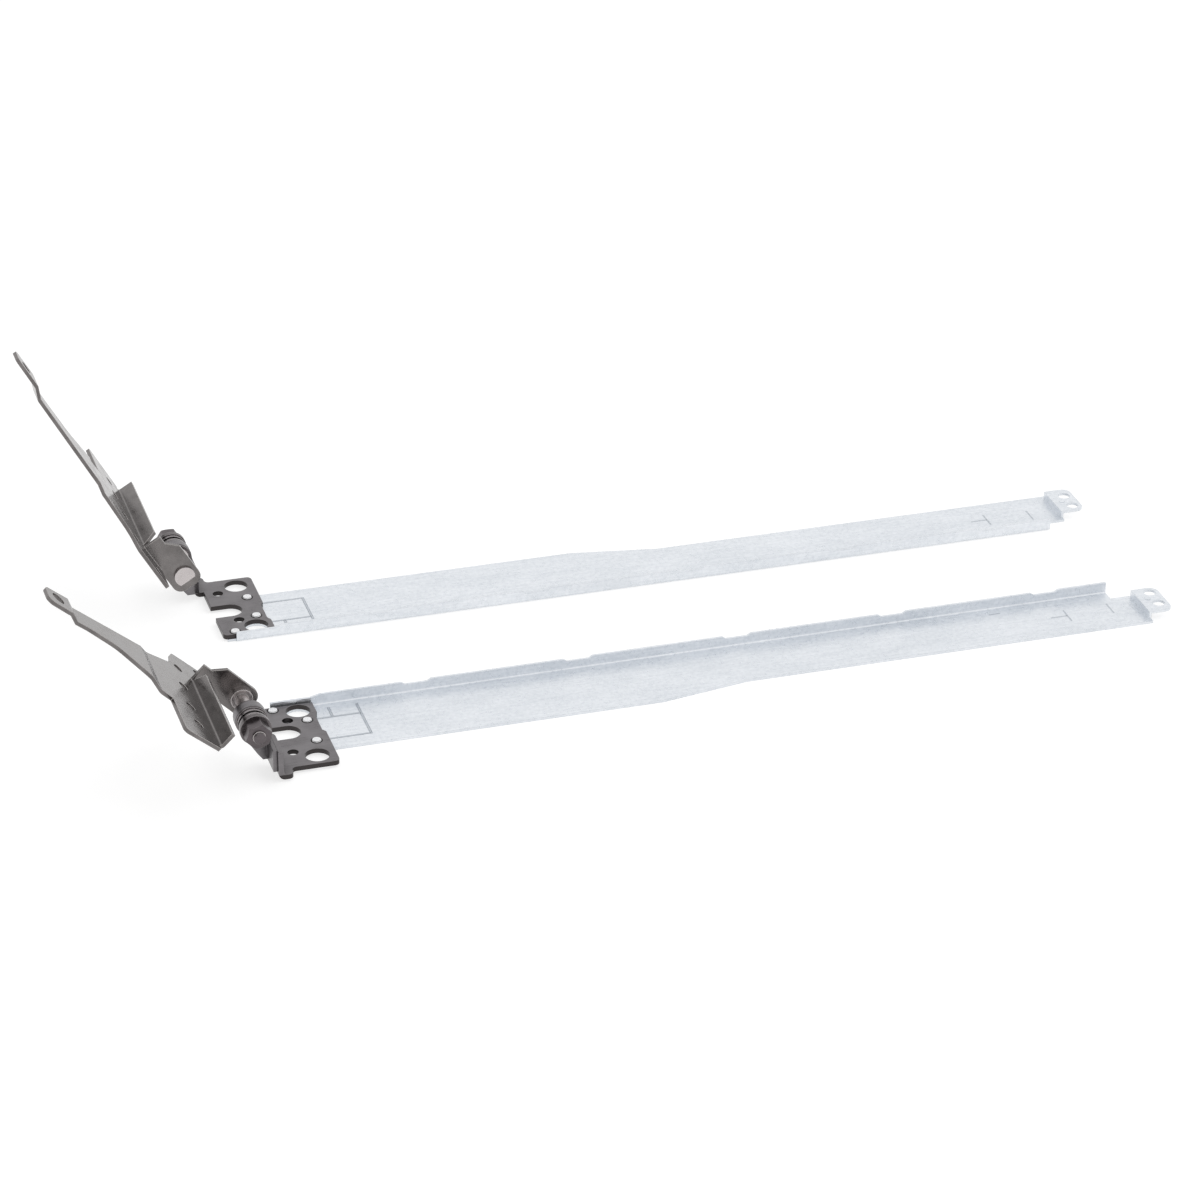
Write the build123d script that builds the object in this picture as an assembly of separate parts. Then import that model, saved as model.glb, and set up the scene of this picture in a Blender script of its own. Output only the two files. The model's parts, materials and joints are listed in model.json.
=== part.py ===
"""Laptop hinge pair: two mirrored friction hinges, each riveted to a folded display strip.

Each hinge is built once in a hinge frame: x runs along the strip from its hinge end,
y points outward from the outer face of the strip's flange, and z is up from the table.
The base side (bracket, shaft and clamped stack) is built with the arm flat along -x and
turned about the shaft to its rest angle. The left hinge is the mirror image of the right.
"""
from build123d import *
import math
import os

# Layout of the pair, in millimetres and degrees
FLANGE_GAP = 35.2          # between the outer faces of the two flanges
AXIS_X = -9.6              # shaft axis in the hinge frame
AXIS_Z = 13.1
RIGHT_REST = 59.3          # rise of each base arm above the table at rest
LEFT_REST = 45.5

# Display strip: thin galvanised sheet, flange on its inner edge, tab at the far end
STRIP_T = 0.6
STRIP_WIDE = 21.2
STRIP_NARROW = 17.4
NARROW_FROM = 90.0         # the outer edge slants in between these two places
NARROW_TO = 112.0
FINGER_X = -2.0            # the finger under the first rivet reaches past the flange
FINGER_WIDTH = 7.6
BODY_X = 4.7               # the rest of the strip starts behind the plate's slot
FLANGE_LENGTH = 211.0
STRIP_PAST = 5.5           # the sheet runs on past the flange to the tab
FLANGE_H = 3.3
FLANGE_LOW_H = 2.7         # lower stretch beside the hinge plate
FLANGE_LOW_END = 9.5
FLANGE_RAMP = 2.4
BEND_R = 0.4
DRILL_L = 20.0             # reaches through every sheet from the drawing plane
NOTCH_COUNT = 5
NOTCH_START = 31.7
NOTCH_LENGTH = 7.2
NOTCH_LAST = 12.7          # from the last notch to the end of the flange
NOTCH_DEPTH = 0.6
NOTCH_SLOPE = 0.9
RELIEF_Y = 3.8             # strip edge beyond the end of the flange
TAB_LIFT = 2.0             # the tab stands this much above the strip
TAB_REACH = 5.8            # past the end of the strip
TAB_INNER_Y = 4.6
TAB_MARGIN = 1.2           # from the strip's outer edge to the tab's
TAB_CORNER_R = 2.2
TAB_HOLE_D = 3.0
TAB_HOLE_INSET = 2.4       # from the tab's end and inner edge to the first hole
TAB_HOLE_PITCH = 5.6
MARK_W = 0.6               # coined location marks beside the hinge plate
MARK_DEPTH = 0.12
MARK_X = 20.2
MARK_SHORT_X = 13.4
MARK_INNER_Y = 7.0
MARK_MARGIN = 4.4          # from the strip's outer edge to the outer mark
MARK_NEAR_Y = 2.4

# Hinge plate: thick pressed plate on the strip, with an upturned wall and an ear
PLATE_T = 1.2
PLATE_LEFT = -2.9
PLATE_RIGHT = 9.9
PLATE_RECESS = 0.7         # the middle of the right edge is set back
PLATE_RECESS_YS = (6.0, 7.4, 14.2, 15.2)
PLATE_INNER_Y = 1.1
PLATE_OUTER_Y = 29.0
PLATE_CORNER_R = 1.2
BIG_HOLE_D = 5.8
BIG_HOLES = ((5.8, 4.2), (5.4, 25.2))
SMALL_HOLE_D = 2.6
SMALL_HOLES = ((2.4, 8.0), (0.3, 22.5))
SLOT_Y = 13.3
SLOT_W = 6.0
SLOT_END = 4.3
WALL_X = -4.0              # inner face of the upturned wall
WALL_INNER_Y = 22.6
WALL_OUTER_Y = 32.0
WALL_TOP = 7.8
NECK_RIGHT = -1.6
EAR_R = 3.8
EAR_FOOT = 2.4             # lowest edge of the ear above the table
EAR_TOE = (-7.2, -8.4)
EAR_TOE_RISE = 1.6

# Rivets that stand on the strip and are staked in the plate
RIVET_D = 2.0
RIVET_PAST = 0.3           # above the plate
RIVET_MARGIN = 2.5         # from the strip's outer edge to the outer rivet
RIVETS = ((0.2, 2.5), (6.9, 9.0), (6.8, STRIP_WIDE - RIVET_MARGIN))

# Base bracket, arm flat along -x: reach is measured from the shaft axis along the arm
BASE_T = 0.9
BASE_TOP = -3.5            # upper face of the plate under the shaft axis
ARM_RISE = 0.6             # small joggle between plate and arm
ARM_JOGGLE = (28.0, 30.5)
TIP_RISE = 1.3
TIP_JOGGLE = (53.6, 56.4)
FOLD_REACH = 12.5          # arm-side face of the bracket's upturned flange
FOLD_TOP = 0.3
FOLD_OUTER_Y = 45.0
FOLD_INNER_Y = 14.4        # the flange's end slants from here at its foot
FOLD_CUT_Y = 17.2          # to here at its top
EAR_BOTTOM = -4.0
EAR_TOP = 3.5
EAR_END = 3.6              # ear past the shaft axis
EAR_SHOULDER = ((7.4, 3.5), (10.2, 1.0))
EAR_CORNER_R = 2.4
LOBE_REACH = 4.6
LOBE_INNER_Y = 3.6
LOBE_TIP = (16.8, 5.6)
LOBE_HEEL = (18.2, 11.0)
ARM_INNER = ((19.8, 13.2), (27.3, 17.6), (57.0, 28.2), (63.8, 30.6))
ARM_OUTER = ((63.8, 37.0), (57.2, 35.2), (49.5, 32.2), (40.5, 30.4))
ARM_THROAT = ((31.0, 33.2), (27.6, 36.2))
BASE_EDGE = (24.6, 36.0)
BASE_CORNER = (24.5, 50.2)
BASE_HEEL_Y = 46.8
PLATE_ROUND_R = 1.0        # corners of the plate
LOBE_R = 1.5               # corners of the lobe
TIP_R = 1.5                # corners of the arm's end
ARM_BEND_R = 8.0           # slow bends along the arm
THROAT_R = 5.0             # where the arm's outer edge turns back to the plate
THROAT_LIP_R = 1.2
BASE_HOLE_D = 2.5
BASE_HOLES = ((16.4, 12.6), (8.5, 6.5), (17.6, 22.6), (18.3, 33.0), (18.1, 40.9))
TIP_HOLE_D = 3.4
TIP_HOLE = (60.2, 32.4)

# Shaft and clamped stack, positions along y in the hinge frame
BASE_EAR_Y = 13.0          # flange-side face of the bracket's ear
HEAD_H = 0.7
HEAD_D = 5.0
HEAD_FLAT = 1.5            # flat of the D-shaped end, from the axis
SEAT_D = 4.0
COLLAR_D = 5.2
COLLAR_L = 1.2
NECK_D = 3.2
CONE_L = 1.9
CONE_D = 6.2
JOURNAL_D = 3.6
JOURNAL_FLAT = 1.45        # half the width across the journal's two flats
THREAD_D = 3.0
RUN_GAP = 0.03             # running clearance between the two sides of the hinge
WASHER_D = 7.4
WASHER_T = 0.6
STOP_T = 1.0
SPRING_T = 0.95
SPRING_DS = (7.0, 6.0, 7.0)    # the discs touch at inner and outer rims in turn
PRESS_T = 1.2
NUT_AF = 5.5
NUT_H = 3.4
NUT_CHAMFER = 30.0
THREAD_PAST = 0.1

# Places that follow from the sizes above
STRIP_LENGTH = FLANGE_LENGTH + STRIP_PAST
NOTCH_PITCH = (FLANGE_LENGTH - NOTCH_START - NOTCH_LENGTH - NOTCH_LAST) / (NOTCH_COUNT - 1)
TAB_END = STRIP_LENGTH + TAB_REACH
TAB_OUTER_Y = STRIP_NARROW - TAB_MARGIN
TAB_HOLE_X = TAB_END - TAB_HOLE_INSET
TAB_HOLE_YS = (TAB_INNER_Y + TAB_HOLE_INSET, TAB_INNER_Y + TAB_HOLE_INSET + TAB_HOLE_PITCH)
MARK_YS = (MARK_INNER_Y, STRIP_WIDE - MARK_MARGIN)
OUTLINE_ROUNDS = {
    (LOBE_REACH, LOBE_INNER_Y): PLATE_ROUND_R, BASE_CORNER: PLATE_ROUND_R,
    LOBE_TIP: LOBE_R, LOBE_HEEL: LOBE_R, ARM_INNER[3]: TIP_R, ARM_OUTER[0]: TIP_R,
    ARM_INNER[1]: ARM_BEND_R, ARM_OUTER[2]: ARM_BEND_R, ARM_OUTER[3]: ARM_BEND_R,
    ARM_THROAT[0]: THROAT_R, ARM_THROAT[1]: THROAT_LIP_R,
}

# Stations along the shaft, worked out from the ear of the hinge plate
EAR_OUTER_Y = WALL_INNER_Y + PLATE_T
STOP_OUTER_Y = EAR_OUTER_Y + STOP_T
INNER_WASHER_Y = WALL_INNER_Y - RUN_GAP - WASHER_T
OUTER_WASHER_Y = STOP_OUTER_Y + RUN_GAP
SPRING_Y = OUTER_WASHER_Y + WASHER_T
PRESS_Y = SPRING_Y + len(SPRING_DS) * SPRING_T
NUT_Y = PRESS_Y + PRESS_T
THREAD_END_Y = NUT_Y + NUT_H + THREAD_PAST
COLLAR_Y = BASE_EAR_Y + BASE_T


def box(x, y, z):
    """Box between two corners given as (low, high) pairs."""
    size = [high - low for low, high in (x, y, z)]
    return Pos(x[0], y[0], z[0]) * Box(*size, align=(Align.MIN, Align.MIN, Align.MIN))


def plan_slab(points, bottom, top):
    """Slab with a polygon outline in plan."""
    outline = make_face(Polyline(*points, close=True))
    return Pos(0, 0, bottom) * extrude(outline, amount=top - bottom)


def side_slab(outline, start_y, depth):
    """Slab from a face drawn in (x, z), standing across y."""
    upright = Plane(origin=(0, start_y + depth, 0), x_dir=(1, 0, 0), z_dir=(0, -1, 0))
    return extrude(upright * outline, amount=depth)


def drill(solid, x, y, diameter):
    """Round hole straight down through a flat sheet."""
    return solid - Pos(x, y, 0) * Cylinder(diameter / 2, DRILL_L)


def edges_along(solid, axis, x=None, y=None, z=None):
    """Straight edges along one axis that lie at the given coordinates."""
    def near(edge):
        middle = edge.center()
        wanted = ((middle.X, x), (middle.Y, y), (middle.Z, z))
        return all(target is None or abs(value - target) < 1e-3 for value, target in wanted)
    return [edge for edge in solid.edges().filter_by(axis) if near(edge)]


def tangent_point(point, centre, radius, side):
    """Where the tangent from a point meets a circle, on the left (+1) or right (-1)."""
    dx, dz = point[0] - centre[0], point[1] - centre[1]
    distance = math.hypot(dx, dz)
    turn = math.atan2(dz, dx) + side * math.acos(radius / distance)
    return centre[0] + radius * math.cos(turn), centre[1] + radius * math.sin(turn)


def keyed_ring(outer, start_y, length):
    """Washer whose bore has the journal's two flats."""
    bore = Circle(JOURNAL_D / 2) & Rectangle(JOURNAL_D, 2 * JOURNAL_FLAT)
    face = Circle(outer / 2) - bore
    return Pos(AXIS_X, start_y + length, AXIS_Z) * Rot(90, 0, 0) * extrude(face, amount=length)


def turned(profile):
    """Solid of revolution about the shaft axis from (radius, y) points."""
    face = make_face(Polyline(*profile, close=True))
    return Pos(AXIS_X, 0, AXIS_Z) * revolve(face, Axis.Y)


def bend_face(width, height, thickness):
    """L-shaped bend section with its heel at the origin, rounded inside and out."""
    corner = [(0, 0), (width, 0), (width, thickness), (thickness, thickness),
              (thickness, height), (0, height)]
    face = make_face(Polyline(*corner, close=True))
    for at, radius in ((thickness, BEND_R), (0, BEND_R + thickness)):
        face = fillet([v for v in face.vertices() if math.hypot(v.X - at, v.Y - at) < 0.01], radius)
    return face


def display_strip():
    """Folded strip: plan outline, notched flange, lifted tab and coined marks."""
    bend = STRIP_T + BEND_R
    plan = [
        (FINGER_X, bend), (FINGER_X, FINGER_WIDTH), (BODY_X, FINGER_WIDTH),
        (BODY_X, STRIP_WIDE), (NARROW_FROM, STRIP_WIDE), (NARROW_TO, STRIP_NARROW),
        (STRIP_LENGTH, STRIP_NARROW), (STRIP_LENGTH, RELIEF_Y),
        (FLANGE_LENGTH, RELIEF_Y), (FLANGE_LENGTH, bend),
    ]
    sheet = plan_slab(plan, 0, STRIP_T)

    ramp_end = FLANGE_LOW_END + FLANGE_RAMP
    top = [(0, FLANGE_LOW_H), (FLANGE_LOW_END, FLANGE_LOW_H), (ramp_end, FLANGE_H)]
    for index in range(NOTCH_COUNT):
        start = NOTCH_START + index * NOTCH_PITCH
        end = start + NOTCH_LENGTH
        floor = FLANGE_H - NOTCH_DEPTH
        top += [(start, FLANGE_H), (start + NOTCH_SLOPE, floor),
                (end - NOTCH_SLOPE, floor), (end, FLANGE_H)]
    side = [(0, 0), *top, (FLANGE_LENGTH, FLANGE_H), (FLANGE_LENGTH, 0)]
    fold = extrude(Plane.YZ * bend_face(bend + BEND_R, FLANGE_H, STRIP_T), amount=FLANGE_LENGTH)
    sheet += fold & side_slab(make_face(Polyline(*side, close=True)), 0, bend + BEND_R)

    riser = box((STRIP_LENGTH - STRIP_T, STRIP_LENGTH), (TAB_INNER_Y, TAB_OUTER_Y),
                (0, TAB_LIFT + STRIP_T))
    tab = box((STRIP_LENGTH - STRIP_T, TAB_END), (TAB_INNER_Y, TAB_OUTER_Y),
              (TAB_LIFT, TAB_LIFT + STRIP_T))
    corners = [edge for y in (TAB_INNER_Y, TAB_OUTER_Y)
               for edge in edges_along(tab, Axis.Z, x=TAB_END, y=y)]
    tab = fillet(corners, TAB_CORNER_R)
    for y in TAB_HOLE_YS:
        tab = drill(tab, TAB_HOLE_X, y, TAB_HOLE_D)
    sheet += riser + tab

    sheet = drill(sheet, *BIG_HOLES[0], BIG_HOLE_D)
    half = MARK_W / 2
    floor = (STRIP_T - MARK_DEPTH, STRIP_T + MARK_DEPTH)
    marks = [box((PLATE_RIGHT - PLATE_RECESS, MARK_X), (y - half, y + half), floor) for y in MARK_YS]
    marks.append(box((MARK_X - half, MARK_X + half), (MARK_NEAR_Y, MARK_YS[1] + half), floor))
    marks.append(box((MARK_SHORT_X - half, MARK_SHORT_X + half), (MARK_NEAR_Y, MARK_YS[0]), floor))
    for mark in marks:
        sheet -= mark
    return sheet


def ear_outline():
    """Ear in (x, z): a round head on the axis with a web down to the wall's outer face."""
    centre = (AXIS_X, AXIS_Z)
    left = WALL_X - PLATE_T
    wall_top = (left, WALL_TOP)
    toe = (EAR_TOE[1], EAR_FOOT + EAR_TOE_RISE)
    web = [(left, EAR_FOOT), wall_top, tangent_point(wall_top, centre, EAR_R, 1), centre,
           tangent_point(toe, centre, EAR_R, -1), toe, (EAR_TOE[0], EAR_FOOT)]
    return make_face(Polyline(*web, close=True)) + Pos(*centre) * Circle(EAR_R)


def bent_ear(right, start_y, thickness, end_y):
    """Ear with a leg turned along y at its right side, the bend rounded on the outside."""
    ear = side_slab(ear_outline(), start_y, thickness)
    ear += box((right - thickness, right), (start_y, end_y), (EAR_FOOT, WALL_TOP))
    left = AXIS_X - EAR_R
    plan = make_face(Polyline((left, start_y), (right, start_y), (right, end_y), (left, end_y),
                              close=True))
    heel = [v for v in plan.vertices() if abs(v.X - right) < 0.01 and abs(v.Y - start_y) < 0.01]
    plan = fillet(heel, thickness + BEND_R)
    ear &= extrude(plan, amount=AXIS_Z + EAR_R)
    bore = JOURNAL_D / 2 + RUN_GAP
    return ear - Pos(AXIS_X, start_y, AXIS_Z) * Rot(90, 0, 0) * Cylinder(bore, 4 * thickness)


def hinge_plate():
    """Pressed plate: flat on the strip, wall turned up at its outer end, ear on the wall."""
    base, top = STRIP_T, STRIP_T + PLATE_T
    wall_left = WALL_X - PLATE_T
    neck_left = WALL_X + BEND_R
    neck_y = WALL_INNER_Y + PLATE_T + BEND_R
    flat = [
        (PLATE_LEFT, PLATE_INNER_Y), (PLATE_RIGHT, PLATE_INNER_Y),
        (PLATE_RIGHT, PLATE_RECESS_YS[0]), (PLATE_RIGHT - PLATE_RECESS, PLATE_RECESS_YS[1]),
        (PLATE_RIGHT - PLATE_RECESS, PLATE_RECESS_YS[2]), (PLATE_RIGHT, PLATE_RECESS_YS[3]),
        (PLATE_RIGHT, PLATE_OUTER_Y), (NECK_RIGHT, PLATE_OUTER_Y),
        (NECK_RIGHT, WALL_OUTER_Y), (neck_left, WALL_OUTER_Y), (neck_left, neck_y),
        (PLATE_LEFT, neck_y),
    ]
    plate = plan_slab(flat, base, top)
    for x, y in ((PLATE_LEFT, PLATE_INNER_Y), (PLATE_RIGHT, PLATE_OUTER_Y),
                 (NECK_RIGHT, WALL_OUTER_Y), (NECK_RIGHT, PLATE_OUTER_Y)):
        plate = fillet(edges_along(plate, Axis.Z, x=x, y=y), PLATE_CORNER_R)
    slot_r = SLOT_W / 2
    plate -= box((PLATE_LEFT, SLOT_END - slot_r), (SLOT_Y - slot_r, SLOT_Y + slot_r), (base, top))
    plate = drill(plate, SLOT_END - slot_r, SLOT_Y, SLOT_W)
    for x, y in BIG_HOLES:
        plate = drill(plate, x, y, BIG_HOLE_D)
    for x, y in SMALL_HOLES:
        plate = drill(plate, x, y, SMALL_HOLE_D)
    for x, y in RIVETS:
        plate = drill(plate, x, y, RIVET_D)

    bend = Pos(wall_left, base) * bend_face(PLATE_T + 2 * BEND_R, EAR_FOOT - base, PLATE_T)
    plate += side_slab(bend, neck_y, WALL_OUTER_Y - neck_y)
    return plate + bent_ear(WALL_X, WALL_INNER_Y, PLATE_T, WALL_OUTER_Y)


def stop_washer():
    """Second ear clamped on the plate's ear, with a leg along the wall that stops it turning."""
    return bent_ear(WALL_X - PLATE_T, EAR_OUTER_Y, STOP_T, WALL_OUTER_Y - STOP_T)


def plate_rivets():
    """Three rivets that stand on the strip, pass through the plate and end just above it."""
    shank = Cylinder(RIVET_D / 2, PLATE_T + RIVET_PAST, align=(Align.CENTER, Align.CENTER, Align.MIN))
    return Compound([Pos(x, y, STRIP_T) * shank for x, y in RIVETS])


def base_sheet():
    """Plate and arm of the base bracket: joggled side section cut to the plan outline."""
    end = ARM_INNER[-1][0]
    steps = [(LOBE_REACH, 0), (ARM_JOGGLE[0], 0), (ARM_JOGGLE[1], ARM_RISE),
             (TIP_JOGGLE[0], ARM_RISE), (TIP_JOGGLE[1], ARM_RISE + TIP_RISE),
             (end, ARM_RISE + TIP_RISE)]
    upper = [(-reach, BASE_TOP + rise) for reach, rise in steps]
    lower = [(x, z - BASE_T) for x, z in reversed(upper)]
    section = side_slab(make_face(Polyline(*upper, *lower, close=True)), 0, 2 * BASE_CORNER[1])
    heel = FOLD_REACH + BEND_R
    plan = [
        (LOBE_REACH, LOBE_INNER_Y), LOBE_TIP, LOBE_HEEL, *ARM_INNER, *ARM_OUTER, *ARM_THROAT,
        BASE_EDGE, BASE_CORNER, (heel, BASE_HEEL_Y), (heel, COLLAR_Y), (LOBE_REACH, COLLAR_Y),
    ]
    outline = make_face(Polyline(*[(-reach, y) for reach, y in plan], close=True))
    for (reach, y), radius in OUTLINE_ROUNDS.items():
        corner = [v for v in outline.vertices() if math.hypot(v.X + reach, v.Y - y) < 0.01]
        outline = fillet(corner, radius)
    depth = 4 * abs(BASE_TOP)
    return section & Pos(0, 0, -depth) * extrude(outline, amount=2 * depth)


def base_bracket():
    """Folded base bracket: sheet with arm, upturned flange, and the ear that carries the shaft."""
    sheet = base_sheet()
    for reach, y in BASE_HOLES:
        sheet = drill(sheet, -reach, y, BASE_HOLE_D)
    sheet = drill(sheet, -TIP_HOLE[0], TIP_HOLE[1], TIP_HOLE_D)
    heel, face = BASE_T - FOLD_REACH, -FOLD_REACH
    bottom = BASE_TOP - BASE_T
    bend = mirror(bend_face(BASE_T + 2 * BEND_R, FOLD_TOP - bottom, BASE_T), about=Plane.YZ)
    fold = side_slab(Pos(heel, bottom) * bend, BASE_EAR_Y, FOLD_OUTER_Y - BASE_EAR_Y)
    cut = make_face(Polyline((BASE_EAR_Y, BASE_TOP), (FOLD_INNER_Y, BASE_TOP),
                             (FOLD_CUT_Y, FOLD_TOP), (BASE_EAR_Y, FOLD_TOP), close=True))
    fold -= Pos(face - BASE_T, 0, 0) * extrude(Plane.YZ * cut, amount=3 * BASE_T)
    foot = LOBE_REACH + BASE_T
    outline = make_face(Polyline(
        (EAR_END, EAR_BOTTOM), (EAR_END, EAR_TOP), *[(-reach, z) for reach, z in EAR_SHOULDER],
        (face, EAR_SHOULDER[1][1]), (face, BASE_TOP), (-foot, BASE_TOP), (-LOBE_REACH, EAR_BOTTOM),
        close=True))
    ends = [v for v in outline.vertices() if abs(v.X - EAR_END) < 0.01]
    sheet += fold + side_slab(fillet(ends, EAR_CORNER_R), BASE_EAR_Y, BASE_T)
    return sheet - side_slab(d_face(SEAT_D), BASE_EAR_Y, BASE_T)


def d_face(diameter):
    """Round section with one flat, as on the shaft's seat."""
    return Circle(diameter / 2) & Pos(HEAD_FLAT - diameter, 0) * Rectangle(2 * diameter, 2 * diameter)


def hinge_shaft():
    """Turned shaft: collar, neck, cone against the inner washer, flatted journal, threaded end."""
    cone_y = INNER_WASHER_Y - CONE_L
    shaft = turned([
        (0, COLLAR_Y), (COLLAR_D / 2, COLLAR_Y), (COLLAR_D / 2, COLLAR_Y + COLLAR_L),
        (NECK_D / 2, COLLAR_Y + COLLAR_L), (NECK_D / 2, cone_y), (CONE_D / 2, INNER_WASHER_Y),
        (0, INNER_WASHER_Y)])
    journal = Circle(JOURNAL_D / 2) & Rectangle(JOURNAL_D, 2 * JOURNAL_FLAT)
    shaft += Pos(AXIS_X, 0, AXIS_Z) * side_slab(journal, INNER_WASHER_Y, NUT_Y - INNER_WASHER_Y)
    shaft += Pos(AXIS_X, 0, AXIS_Z) * side_slab(Circle(THREAD_D / 2), NUT_Y, THREAD_END_Y - NUT_Y)
    return shaft


def shaft_end():
    """D-shaped seat and staked head of the shaft, drawn with the bracket's arm flat."""
    seat = side_slab(d_face(SEAT_D), BASE_EAR_Y, BASE_T)
    return seat + side_slab(d_face(HEAD_D), BASE_EAR_Y - HEAD_H, HEAD_H)


def disc_springs():
    """Spring discs pressed flat by the nut, stacked with a smaller one between two larger ones."""
    return Compound([keyed_ring(diameter, SPRING_Y + index * SPRING_T, SPRING_T)
                     for index, diameter in enumerate(SPRING_DS)])


def lock_nut():
    """Hexagon nut with chamfered corners on the threaded end."""
    corner = NUT_AF / math.sqrt(3)
    hexagon = side_slab(RegularPolygon(corner, 6), NUT_Y, NUT_H)
    drop = (corner - NUT_AF / 2) * math.tan(math.radians(NUT_CHAMFER))
    outline = [(THREAD_D / 2, NUT_Y), (corner, NUT_Y), (corner, NUT_Y + NUT_H - drop),
               (NUT_AF / 2, NUT_Y + NUT_H), (THREAD_D / 2, NUT_Y + NUT_H)]
    return Pos(AXIS_X, 0, AXIS_Z) * hexagon & turned(outline)


def at_rest(solid, angle):
    """Turn a piece drawn about the origin, arm flat, to its rest angle on the shaft axis."""
    return Pos(AXIS_X, 0, AXIS_Z) * Rot(0, angle, 0) * solid


def hinge(rest_angle):
    """All pieces of one hinge in the hinge frame, by node name."""
    turn = Pos(AXIS_X, 0, AXIS_Z) * Rot(0, rest_angle, 0) * Pos(-AXIS_X, 0, -AXIS_Z)
    shaft = turn * hinge_shaft() + at_rest(shaft_end(), rest_angle)
    return {
        "display_strip": display_strip(),
        "hinge_plate": hinge_plate(),
        "plate_rivets": plate_rivets(),
        "stop_washer": stop_washer(),
        "base_bracket": at_rest(base_bracket(), rest_angle),
        "hinge_shaft": shaft,
        "inner_friction_washer": turn * keyed_ring(WASHER_D, INNER_WASHER_Y, WASHER_T),
        "outer_friction_washer": turn * keyed_ring(WASHER_D, OUTER_WASHER_Y, WASHER_T),
        "disc_springs": turn * disc_springs(),
        "pressure_washer": turn * keyed_ring(WASHER_D, PRESS_Y, PRESS_T),
        "lock_nut": turn * lock_nut(),
    }


def build():
    """Both hinges in the part's frame, centred on their common box with the table at z = 0."""
    outward = Pos(0, FLANGE_GAP / 2, 0)
    nodes = {f"right_{name}": outward * solid for name, solid in hinge(RIGHT_REST).items()}
    for name, solid in hinge(LEFT_REST).items():
        nodes[f"left_{name}"] = mirror(outward * solid, about=Plane.XZ)
    whole = Compound(list(nodes.values())).bounding_box()
    centre_x = (whole.min.X + whole.max.X) / 2
    print(f"box {whole.size.X:.2f} {whole.size.Y:.2f} {whole.size.Z:.2f}, bottom {whole.min.Z:.3f}")
    print(f"shift {-centre_x:.4f}, axis x {AXIS_X - centre_x:.4f}")
    return {name: Pos(-centre_x, 0, 0) * solid for name, solid in nodes.items()}


os.makedirs("parts", exist_ok=True)
for node, piece in build().items():
    export_step(piece, f"parts/{node}.step")
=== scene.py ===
"""Laptop hinge pair: finishes, small fittings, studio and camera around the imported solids."""

import bmesh
import bpy
import json
import math
from mathutils import Matrix, Vector

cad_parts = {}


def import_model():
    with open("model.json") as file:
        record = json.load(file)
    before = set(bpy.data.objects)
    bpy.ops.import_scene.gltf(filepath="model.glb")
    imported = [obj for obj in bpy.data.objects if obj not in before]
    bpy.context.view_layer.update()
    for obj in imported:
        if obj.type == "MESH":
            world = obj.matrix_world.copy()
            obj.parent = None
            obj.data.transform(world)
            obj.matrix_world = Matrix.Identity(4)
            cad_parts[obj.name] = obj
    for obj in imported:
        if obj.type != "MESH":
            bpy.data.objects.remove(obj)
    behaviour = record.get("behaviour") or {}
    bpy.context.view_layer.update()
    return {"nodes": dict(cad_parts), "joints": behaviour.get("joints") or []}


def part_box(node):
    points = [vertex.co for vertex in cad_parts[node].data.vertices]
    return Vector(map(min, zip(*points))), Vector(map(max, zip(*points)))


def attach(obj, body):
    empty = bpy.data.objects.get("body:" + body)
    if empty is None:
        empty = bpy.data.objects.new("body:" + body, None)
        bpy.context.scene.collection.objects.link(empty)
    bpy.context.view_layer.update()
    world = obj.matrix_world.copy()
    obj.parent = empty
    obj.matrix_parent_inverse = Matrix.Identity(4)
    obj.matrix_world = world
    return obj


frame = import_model()

MM = 0.001
UP = (0, 0, 1)
WHITE = (1.0, 1.0, 1.0, 1.0)
SIDES = {"left": -1, "right": 1}       # direction of each hinge's outer side along Y

# Heights of flat faces over the floor, in millimetres
STRIP_TOP = 0.6
PLATE_TOP = 1.8
TAB_TOP = 2.6

# Making of the small fittings
TURN_STEPS = 32
DOME_RINGS = 4
PIECE_MERGE = 1e-7         # metres within which points of a new piece are one
SOLID_MERGE = 1e-6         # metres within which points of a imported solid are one

# Rivet heads on the hinge plates and the bruised rings round them, in millimetres
HEAD_R = 1.12
HEAD_H = 0.3
RING_R = 1.42
RING_H = 0.05

# Threaded end that stands out of the nut, in millimetres
THREAD_R = 1.4
THREAD_PITCH = 0.35
THREAD_TURNS = 2
THREAD_LAND = 0.12

# Half-pierced pip between the two holes of each tab, in millimetres
PIP_R = 0.75
PIP_H = 0.3
PIP_INSET = 4.1            # from the end of the tab
PIP_Y = 9.8                # from the flange's outer face

# Fine location lines on each strip: reach from the tab's end, then from the flange's outer face
LINE_H = 0.02
LINE_DEPTH = 0.14
LOCATION_LINES = (
    ((13.2, 13.6), (6.0, 11.0)),
    ((24.7, 25.1), (6.4, 11.8)),
    ((25.0, 29.2), (8.9, 9.3)),
    ((40.3, 43.3), (3.2, 3.6)),
    ((201.9, 202.3), (2.5, 17.0)),
    ((208.7, 209.1), (2.5, 6.9)),
    ((202.2, 213.0), (6.8, 7.2)),
    ((202.2, 213.0), (16.6, 17.0)),
)

# What the finishes share: sizes in millimetres, colours as 0 to 255 levels
EVEN = (1, 1, 1)
NOISE_LEVELS = (0.32, 0.68)    # noise between these levels is spread over 0 to 1
NOISE_DETAIL = 2.0
EDGE_LEVELS = (0.06, 0.2)      # lean of the normal where an eased edge starts and where it is full
EDGE_SAMPLES = 12
BUMP_DEPTH = 0.006

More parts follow.
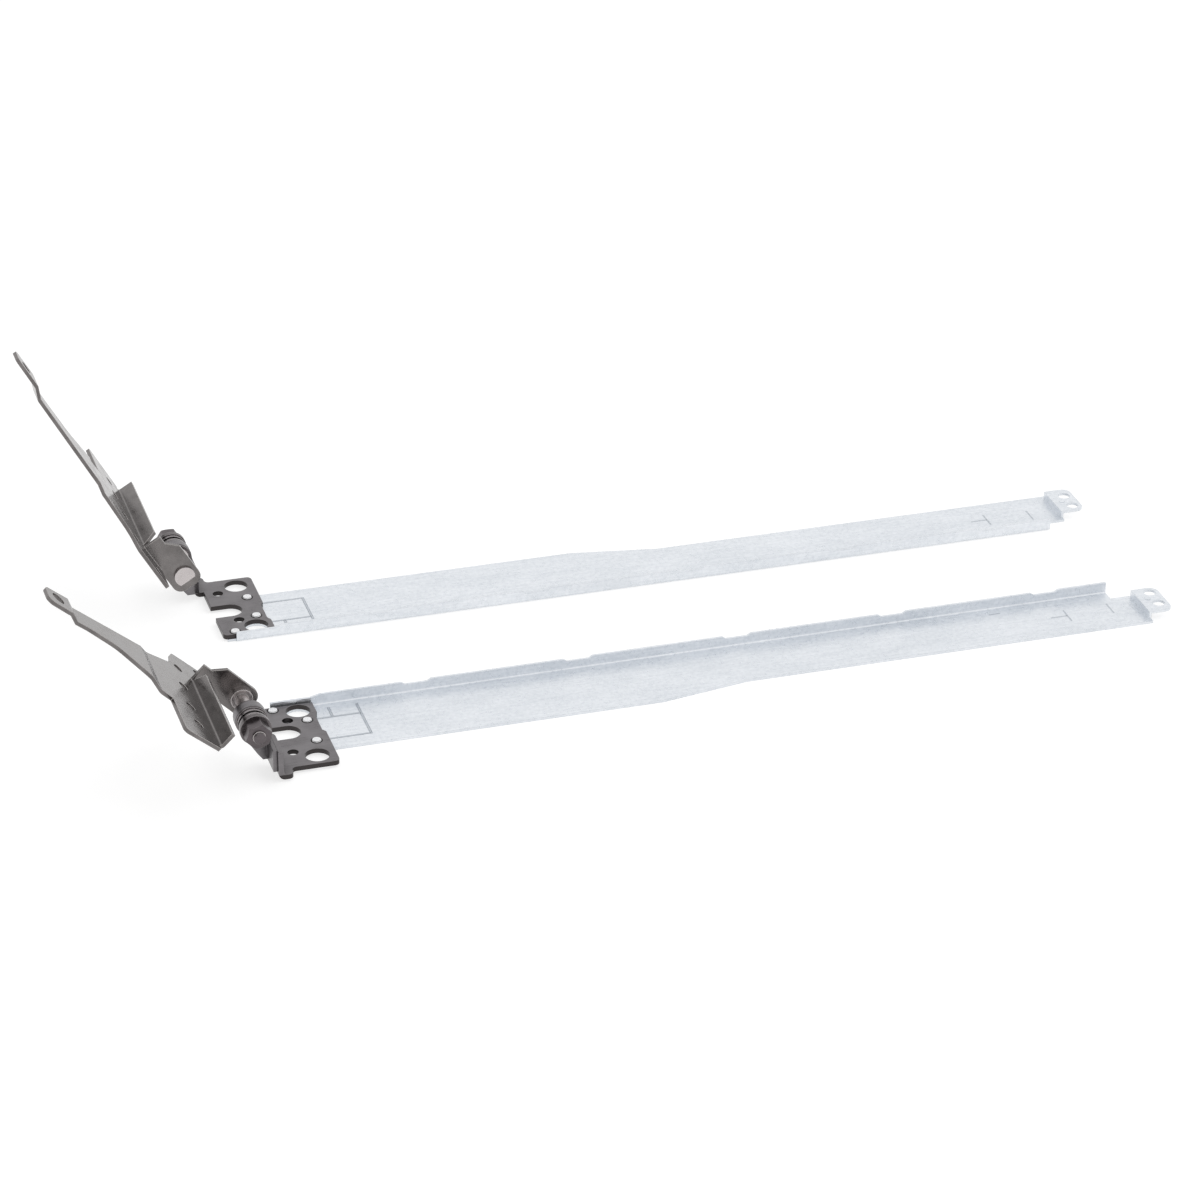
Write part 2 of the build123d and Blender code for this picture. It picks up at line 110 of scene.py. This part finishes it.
# Zinc-coated sheet
CRYSTAL_SIZE = 0.9
CRYSTAL_DETAIL = 4.0
CRYSTAL_SHARE = 0.5
CLOUD_SIZE = 7.0
CLOUD_STRETCH = (0.4, 1, 1)
CLOUD_SHARE = 0.25
ROLLING_SIZE = 0.4
ROLLING_STRETCH = (0.04, 1, 1)
ROLLING_SHARE = 0.25
ZINC_METALLIC = 0.85
ZINC_EDGE_R = 0.15
ZINC_EDGE_SHADE = 0.6
ZINC_ROUGHNESS = 0.26
ZINC_UNEVEN = 0.14

# Nickel plating
GRAIN_SIZE = 0.35
GRAIN_SHARE = 0.35
GRAIN_ROUGHNESS = 0.08
GRAIN_ALONG_X = (0.06, 1, 1)
SMUDGE_SIZE = 4.0
SMUDGE_SHARE = 0.65
SMUDGE_ROUGHNESS = 0.12
NICKEL_DETAIL = 3.0
NICKEL_EDGE_R = 0.25
# Painted shade in corners and creases: its colour, its reach in millimetres and its samples
CORNER_SHADE = (24, 22, 22)
CORNER_SHADE_REACH = 2.5
CORNER_SHADE_SAMPLES = 8
# Painted shade on the upright cut edges of holes and slots, as 0 to 255 levels
CUT_EDGE_SHADE = (66, 63, 63)
CUT_LEVELS = (0.3, 0.1)        # squared upward lean of a face where a cut edge starts and is full
CUT_BLEND = 0.02               # above and below the height where cut edges end

# Rivets and the rings round them
SCUFF_SIZE = 0.3
SCUFF_DETAIL = 4.0
RIVET_DARK = (218, 219, 221)
RIVET_LIGHT = (250, 250, 251)
RIVET_ROUGHNESS = 0.25
RIVET_UNEVEN = 0.25
RIVET_BUMP = 0.02
RIVET_EDGE_R = 0.1
SOOT_SIZE = 0.5
SOOT_DARK = (38, 36, 36)
SOOT_LIGHT = (66, 63, 63)
SOOT_ROUGHNESS = 0.45
SOOT_UNEVEN = 0.2

# Camera: where it stands and what it looks at in metres, lens in millimetres, roll in degrees
CAMERA_AT = (-0.2613, -0.8561, 0.4893)
CAMERA_TARGET = (0.0073, 0.0140, 0.0)
CAMERA_ROLL = 0.45
CAMERA_LENS = 126.09
CAMERA_SENSOR = 36.0

# Studio: floor, world and lamps, in metres and watts
FLOOR_SIZE = 4.0
FLOOR_ALBEDO = 0.42
FLOOR_GLOW = 0.7           # added for the camera and for reflections, so that the floor is white
AMBIENT = 0.62
KEY_AT = (0.85, -0.3, 1.15)
KEY_SIZE = 1.5
KEY_POWER = 8.0
FILL_AT = (-0.5, 0.45, 1.25)
FILL_SIZE = 0.9
FILL_POWER = 2.5


class Value:
    """A shader socket that arithmetic turns into Math nodes."""

    def __init__(self, graph, socket):
        self.graph = graph
        self.socket = socket

    def math(self, operation, first, second):
        return self.graph.node("ShaderNodeMath", {"operation": operation}, {0: first, 1: second})

    def __add__(self, other):
        return self.math("ADD", self, other)

    def __rsub__(self, other):
        return self.math("SUBTRACT", other, self)

    def __mul__(self, other):
        return self.math("MULTIPLY", self, other)


class Graph:
    """One node tree, with the few nodes that the finishes share."""

    def __init__(self, tree):
        self.tree = tree

    def feed(self, socket, value):
        """Link a value to a socket, or set the socket to a plain number or colour."""
        if isinstance(value, Value):
            self.tree.links.new(value.socket, socket)
        else:
            socket.default_value = value

    def node(self, kind, settings, inputs, output=0):
        """New node with its settings and inputs; gives back one of its outputs."""
        made = self.tree.nodes.new(kind)
        for key, setting in settings.items():
            setattr(made, key, setting)
        for key, value in inputs.items():
            self.feed(made.inputs[key], value)
        return Value(self, made.outputs[output])

    def place(self, stretch=EVEN):
        """Object coordinates, drawn out along an axis where its stretch is below 1."""
        spot = self.node("ShaderNodeTexCoord", {}, {}, "Object")
        return self.node("ShaderNodeMapping", {}, {"Vector": spot, "Scale": stretch})

    def spread(self, value, low, high):
        """A value taken from between two levels to 0 and 1."""
        limits = {"Value": value, "From Min": low, "From Max": high}
        return self.node("ShaderNodeMapRange", {}, limits)

    def noise(self, size, spot, detail=NOISE_DETAIL):
        """Noise with features of about this size in millimetres, spread over 0 to 1."""
        look = {"Vector": spot, "Scale": 1 / (size * MM), "Detail": detail}
        return self.spread(self.node("ShaderNodeTexNoise", {}, look), *NOISE_LEVELS)

    def mix(self, factor, first, second):
        """Blend of two colours."""
        return self.node("ShaderNodeMix", {"data_type": "RGBA"}, {0: factor, 6: first, 7: second}, 2)

    def rounded(self, radius):
        """Normal with the sharp edges eased over a radius in millimetres."""
        return self.node("ShaderNodeBevel", {"samples": EDGE_SAMPLES}, {"Radius": radius * MM})

    def edge(self, normal):
        """1 on the eased edges and 0 on flat faces."""
        flat = self.node("ShaderNodeNewGeometry", {}, {}, "Normal")
        settings = {"operation": "DOT_PRODUCT"}
        match = self.node("ShaderNodeVectorMath", settings, {0: normal, 1: flat}, "Value")
        return self.spread(1 - match, *EDGE_LEVELS)

    def open_air(self, reach):
        """1 on open faces, falling towards 0 in corners, over a reach in millimetres."""
        settings = {"samples": CORNER_SHADE_SAMPLES, "only_local": True}
        return self.node("ShaderNodeAmbientOcclusion", settings, {"Distance": reach * MM}, "AO")

    def cut_edge(self, top):
        """1 on the upright faces below a height in millimetres, 0 elsewhere."""
        facing = self.node("ShaderNodeTexCoord", {}, {}, "Normal")
        upward = self.node("ShaderNodeSeparateXYZ", {}, {0: facing}, "Z")
        height = self.node("ShaderNodeSeparateXYZ", {}, {0: self.place()}, "Z")
        below = self.spread(height, (top + CUT_BLEND) * MM, (top - CUT_BLEND) * MM)
        return self.spread(upward * upward, *CUT_LEVELS) * below

    def bump(self, height, depth, normal):
        """Normal pushed in and out by a height, over a depth in millimetres."""
        look = {"Height": height, "Strength": 1.0, "Distance": depth * MM, "Normal": normal}
        return self.node("ShaderNodeBump", {}, look)

    def seen(self):
        """1 for rays from the camera or from a mirror or a glass, 0 for light that spreads."""
        rays = [self.node("ShaderNodeLightPath", {}, {}, name)
                for name in ("Is Camera Ray", "Is Glossy Ray", "Is Transmission Ray")]
        settings = {"operation": "ADD", "use_clamp": True}
        return self.node("ShaderNodeMath", settings, {0: rays[0] + rays[1], 1: rays[2]})


def srgb(levels):
    """Linear colour from the 0 to 255 levels that a picture shows, by the standard curve."""
    shares = [level / 255 for level in levels]
    linear = [v / 12.92 if v <= 0.04045 else ((v + 0.055) / 1.055) ** 2.4 for v in shares]
    return (*linear, 1.0)


def new_material(name, metallic=1.0):
    """Empty material with its shader and its graph."""
    material = bpy.data.materials.new(name)
    material.use_nodes = True
    shader = material.node_tree.nodes["Principled BSDF"]
    shader.inputs["Metallic"].default_value = metallic
    return material, shader, Graph(material.node_tree)


def galvanised_sheet(name, dark, light, edge):
    """Zinc-coated sheet: pale and bluish, finely mottled, with faint rolling lines and painted shade on
    the edges.
    """
    material, shader, graph = new_material(name, ZINC_METALLIC)
    crystals = graph.noise(CRYSTAL_SIZE, graph.place(), CRYSTAL_DETAIL)
    clouds = graph.noise(CLOUD_SIZE, graph.place(CLOUD_STRETCH))
    lines = graph.noise(ROLLING_SIZE, graph.place(ROLLING_STRETCH))
    normal = graph.rounded(ZINC_EDGE_R)
    tone = crystals * CRYSTAL_SHARE + clouds * CLOUD_SHARE + lines * ROLLING_SHARE
    colour = graph.mix(tone, srgb(dark), srgb(light))
    # Painted shade greys the eased edges and the recess lines
    colour = graph.mix(graph.edge(normal) * ZINC_EDGE_SHADE, colour, srgb(edge))
    graph.feed(shader.inputs["Base Color"], colour)
    graph.feed(shader.inputs["Roughness"], crystals * ZINC_UNEVEN + ZINC_ROUGHNESS)
    graph.feed(shader.inputs["Normal"], graph.bump(crystals, BUMP_DEPTH, normal))
    return material


def nickel_finish(name, dark, light, edge, roughness,
                  stretch=EVEN, edge_wear_and_highlight=0.6, shade_corners=True, shade_cut_edges_below=None):
    """Nickel-plated steel: fine grain, smudges, and a painted highlight on the eased edges, partly
    wear.

    Where asked for, painted shade darkens the corners and the upright cut edges below a height.
    """
    material, shader, graph = new_material(name)
    grain = graph.noise(GRAIN_SIZE, graph.place(stretch), NICKEL_DETAIL)
    smudges = graph.noise(SMUDGE_SIZE, graph.place(), NICKEL_DETAIL)
    normal = graph.rounded(NICKEL_EDGE_R)
    colour = graph.mix(grain * GRAIN_SHARE + smudges * SMUDGE_SHARE, srgb(dark), srgb(light))
    # Painted shade on the walls of holes and slots below a height
    if shade_cut_edges_below:
        colour = graph.mix(graph.cut_edge(shade_cut_edges_below), colour, srgb(CUT_EDGE_SHADE))
    # Eased edges painted brighter: painted highlight, partly wear
    colour = graph.mix(graph.edge(normal) * edge_wear_and_highlight, colour, srgb(edge))
    # Painted shade: darker where a corner or crease closes in
    if shade_corners:
        colour = graph.mix(1 - graph.open_air(CORNER_SHADE_REACH), colour, srgb(CORNER_SHADE))
    rough = smudges * SMUDGE_ROUGHNESS + (grain * GRAIN_ROUGHNESS + roughness)
    graph.feed(shader.inputs["Base Color"], colour)
    graph.feed(shader.inputs["Roughness"], rough)
    graph.feed(shader.inputs["Normal"], graph.bump(grain, BUMP_DEPTH, normal))
    return material


def bright_rivet():
    """Soft bright metal, pressed and lightly scratched."""
    material, shader, graph = new_material("bright_rivet")
    scuffs = graph.noise(SCUFF_SIZE, graph.place(), SCUFF_DETAIL)
    colour = graph.mix(scuffs, srgb(RIVET_DARK), srgb(RIVET_LIGHT))
    normal = graph.bump(scuffs, RIVET_BUMP, graph.rounded(RIVET_EDGE_R))
    graph.feed(shader.inputs["Base Color"], colour)
    graph.feed(shader.inputs["Roughness"], scuffs * RIVET_UNEVEN + RIVET_ROUGHNESS)
    graph.feed(shader.inputs["Normal"], normal)
    return material


def staking_ring():
    """Dark bruised ring that the staking tool leaves round a rivet."""
    material, shader, graph = new_material("staking_ring")
    soot = graph.noise(SOOT_SIZE, graph.place())
    graph.feed(shader.inputs["Base Color"], graph.mix(soot, srgb(SOOT_DARK), srgb(SOOT_LIGHT)))
    graph.feed(shader.inputs["Roughness"], soot * SOOT_UNEVEN + SOOT_ROUGHNESS)
    return material


# Finish of each kind of piece: name, then dark, light and edge levels
finishes = {
    "display_strip": galvanised_sheet(
        "galvanised_sheet", (212, 217, 223), (240, 243, 247), (176, 182, 190)),
    "hinge_plate": nickel_finish(
        "dark_plate", (106, 103, 105), (132, 129, 131), (172, 168, 169),
        roughness=0.24, stretch=GRAIN_ALONG_X, edge_wear_and_highlight=0.35, shade_cut_edges_below=PLATE_TOP),
    "plate_rivets": bright_rivet(),
    "base_bracket": nickel_finish(
        "grey_bracket", (102, 99, 98), (130, 126, 125), (205, 200, 198),
        roughness=0.1, edge_wear_and_highlight=0.9, shade_corners=False),
    "hinge_shaft": nickel_finish(
        "shaft_steel", (178, 172, 172), (206, 200, 199), (232, 227, 227), roughness=0.16),
    "lock_nut": nickel_finish(
        "nut_steel", (84, 79, 81), (108, 102, 104), (170, 164, 165), roughness=0.22),
    "washer": nickel_finish(
        "washer_steel", (88, 84, 85), (116, 111, 112), (190, 185, 185), roughness=0.18),
    "disc_springs": nickel_finish(
        "spring_steel", (120, 115, 116), (150, 145, 146), (215, 210, 210), roughness=0.16),
    "staking_ring": staking_ring(),
    # Darker zinc for the location lines: painted shade standing in for the coined grooves
    "location_line": galvanised_sheet(
        "location_line", (182, 188, 195), (206, 211, 217), (164, 170, 177)),
}
finishes["stop_washer"] = finishes["hinge_plate"]


def paint(obj, finish):
    """Give a piece one finish in place of any it came with."""
    obj.data.materials.clear()
    obj.data.materials.append(finish)


for name, node in frame["nodes"].items():
    piece = name.split("_", 1)[1]
    paint(node, finishes.get(piece, finishes["washer"]))


def placed(name, mesh, finish):
    """Object made from a bmesh, with its finish, in the scene."""
    data = bpy.data.meshes.new(name)
    mesh.to_mesh(data)
    mesh.free()
    obj = bpy.data.objects.new(name, data)
    bpy.context.scene.collection.objects.link(obj)
    paint(obj, finish)
    return obj


def new_piece(name, mesh, body, finish):
    """Clean a bmesh and make it a piece that rides on a body."""
    bmesh.ops.remove_doubles(mesh, verts=mesh.verts, dist=PIECE_MERGE)
    bmesh.ops.recalc_face_normals(mesh, faces=mesh.faces)
    obj = placed(name, mesh, finish)
    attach(obj, body)


def turned(mesh, profile, centre, axis):
    """Add a solid of revolution to a bmesh: (radius, height) points turned about an axis."""
    up = Vector(axis)
    out = up.orthogonal().normalized()
    foot = Vector(centre)
    spots = [mesh.verts.new(foot + out * radius * MM + up * height * MM)
             for radius, height in profile]
    rim = [mesh.edges.new(pair) for pair in zip(spots, spots[1:])]
    bmesh.ops.spin(mesh, geom=[*spots, *rim], cent=centre, axis=up, angle=math.tau,
                   steps=TURN_STEPS, use_merge=True)


def dome(radius, height):
    """Profile of a low dome from its rim to its middle."""
    turns = [math.pi / 2 * index / DOME_RINGS for index in range(DOME_RINGS + 1)]
    return [(radius * math.cos(turn), height * math.sin(turn)) for turn in turns]


def loose_boxes(node):
    """Lowest and highest corner of each separate solid in a CAD node."""
    mesh = bmesh.new()
    mesh.from_mesh(node.data)
    bmesh.ops.remove_doubles(mesh, verts=mesh.verts, dist=SOLID_MERGE)
    left = set(mesh.verts)
    boxes = []
    while left:
        group = [left.pop()]
        for vert in group:
            for edge in vert.link_edges:
                other = edge.other_vert(vert)
                if other in left:
                    left.discard(other)
                    group.append(other)
        axes = list(zip(*[vert.co for vert in group]))
        low = Vector([min(axis) for axis in axes])
        high = Vector([max(axis) for axis in axes])
        boxes.append((low, high))
    mesh.free()
    return boxes


def rivet_heads(side):
    """Domed head and dark ring on each rivet of a hinge plate."""
    heads = bmesh.new()
    rings = bmesh.new()
    ring = [(0, 0), (RING_R, 0), (RING_R - RING_H, RING_H), (0, RING_H)]
    for low, high in loose_boxes(frame["nodes"][f"{side}_plate_rivets"]):
        middle = (low + high) / 2
        foot = Vector((middle.x, middle.y, PLATE_TOP * MM))
        turned(heads, [(0, 0), *dome(HEAD_R, HEAD_H)], foot, UP)
        turned(rings, ring, foot, UP)
    new_piece(f"{side}_rivet_heads", heads, "lid_side", finishes["plate_rivets"])
    new_piece(f"{side}_staking_rings", rings, "lid_side", finishes["staking_ring"])


def thread_end(side, outward):
    """Threaded end of the shaft, standing out of the nut."""
    low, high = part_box(f"{side}_hinge_shaft")
    joint = next(joint for joint in frame["joints"] if joint["name"] == f"{side}_hinge")
    axis_x, _, axis_z = joint["pos_m"]
    end_y = high.y if outward > 0 else low.y
    profile = [(0, 0), (THREAD_R, 0)]
    for turn in range(THREAD_TURNS):
        crest = turn * THREAD_PITCH
        profile += [(THREAD_R, crest + THREAD_LAND),
                    (THREAD_R - THREAD_LAND, crest + THREAD_PITCH / 2),
                    (THREAD_R, crest + THREAD_PITCH)]
    top = THREAD_TURNS * THREAD_PITCH + THREAD_LAND
    profile += [(THREAD_R - 2 * THREAD_LAND, top), (0, top)]
    mesh = bmesh.new()
    turned(mesh, profile, (axis_x, end_y, axis_z), (0, outward, 0))
    new_piece(f"{side}_thread_end", mesh, f"{side}_base", finishes["lock_nut"])


def strip_corner(side, outward):
    """Where a strip's tab ends along X, and where its flange's outer face lies along Y."""
    low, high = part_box(f"{side}_display_strip")
    return high.x, low.y if outward > 0 else high.y


def tab_pip(side, outward):
    """Small half-pierced pip between the screw holes of a strip's tab."""
    end_x, flange_y = strip_corner(side, outward)
    foot = (end_x - PIP_INSET * MM, flange_y + outward * PIP_Y * MM, TAB_TOP * MM)
    mesh = bmesh.new()
    turned(mesh, [(0, 0), *dome(PIP_R, PIP_H)], foot, UP)
    new_piece(f"{side}_tab_pip", mesh, "lid_side", finishes["display_strip"])


def location_lines(side, outward):
    """Fine lines coined into the strip near its tab and beside the hinge plate, in darker zinc as
    painted shade of the grooves.
    """
    end_x, flange_y = strip_corner(side, outward)
    middle_z = (STRIP_TOP + (LINE_H - LINE_DEPTH) / 2) * MM
    mesh = bmesh.new()
    for insets, offsets in LOCATION_LINES:
        xs = [end_x - inset * MM for inset in insets]
        ys = [flange_y + outward * offset * MM for offset in offsets]
        middle = Vector((sum(xs) / 2, sum(ys) / 2, middle_z))
        size = Vector((abs(xs[0] - xs[1]), abs(ys[0] - ys[1]), (LINE_H + LINE_DEPTH) * MM))
        bmesh.ops.create_cube(mesh, size=1.0, matrix=Matrix.LocRotScale(middle, None, size))
    new_piece(f"{side}_location_lines", mesh, "lid_side", finishes["location_line"])


for side, outward in SIDES.items():
    rivet_heads(side)
    thread_end(side, outward)
    tab_pip(side, outward)
    location_lines(side, outward)


def floor():
    """Pale floor that keeps the shadow and looks white to the camera and in the metal."""
    mesh = bmesh.new()
    bmesh.ops.create_grid(mesh, x_segments=1, y_segments=1, size=FLOOR_SIZE / 2)
    material, shader, graph = new_material("pale_floor", metallic=0.0)
    shader.inputs["Base Color"].default_value = (FLOOR_ALBEDO, FLOOR_ALBEDO, FLOOR_ALBEDO, 1.0)
    shader.inputs["Roughness"].default_value = 1.0
    shader.inputs["Specular IOR Level"].default_value = 0.0
    shader.inputs["Emission Color"].default_value = WHITE
    graph.feed(shader.inputs["Emission Strength"], graph.seen() * FLOOR_GLOW)
    obj = placed("floor", mesh, material)


def world():
    """White surroundings: plain level for spreading light, full white where they are seen."""
    made = bpy.data.worlds.new("studio")
    made.use_nodes = True
    graph = Graph(made.node_tree)
    background = made.node_tree.nodes["Background"]
    background.inputs["Color"].default_value = WHITE
    graph.feed(background.inputs["Strength"], graph.seen() * (1.0 - AMBIENT) + AMBIENT)
    bpy.context.scene.world = made


def aimed(location, target, roll=0.0):
    """Matrix of a lamp or camera that stands at one point and looks at another."""
    turn = (Vector(target) - Vector(location)).to_track_quat("-Z", "Y").to_matrix().to_4x4()
    return Matrix.Translation(location) @ turn @ Matrix.Rotation(math.radians(roll), 4, "Z")


def soft_lamp(name, location, size, power):
    """Square soft lamp turned to the middle of the hinges. Metal doesn't mirror it."""
    lamp = bpy.data.lights.new(name, "AREA")
    lamp.size = size
    lamp.energy = power
    obj = bpy.data.objects.new(name, lamp)
    obj.visible_glossy = False
    obj.matrix_world = aimed(location, CAMERA_TARGET)
    bpy.context.scene.collection.objects.link(obj)


def camera():
    """Camera at the photograph's place, with its lens."""
    data = bpy.data.cameras.new("camera")
    data.lens = CAMERA_LENS
    data.sensor_width = CAMERA_SENSOR
    obj = bpy.data.objects.new("camera", data)
    obj.matrix_world = aimed(CAMERA_AT, CAMERA_TARGET, CAMERA_ROLL)
    bpy.context.scene.collection.objects.link(obj)
    bpy.context.scene.camera = obj


floor()
world()
soft_lamp("key_lamp", KEY_AT, KEY_SIZE, KEY_POWER)
soft_lamp("fill_lamp", FILL_AT, FILL_SIZE, FILL_POWER)
camera()
bpy.context.scene.view_settings.view_transform = "Standard"
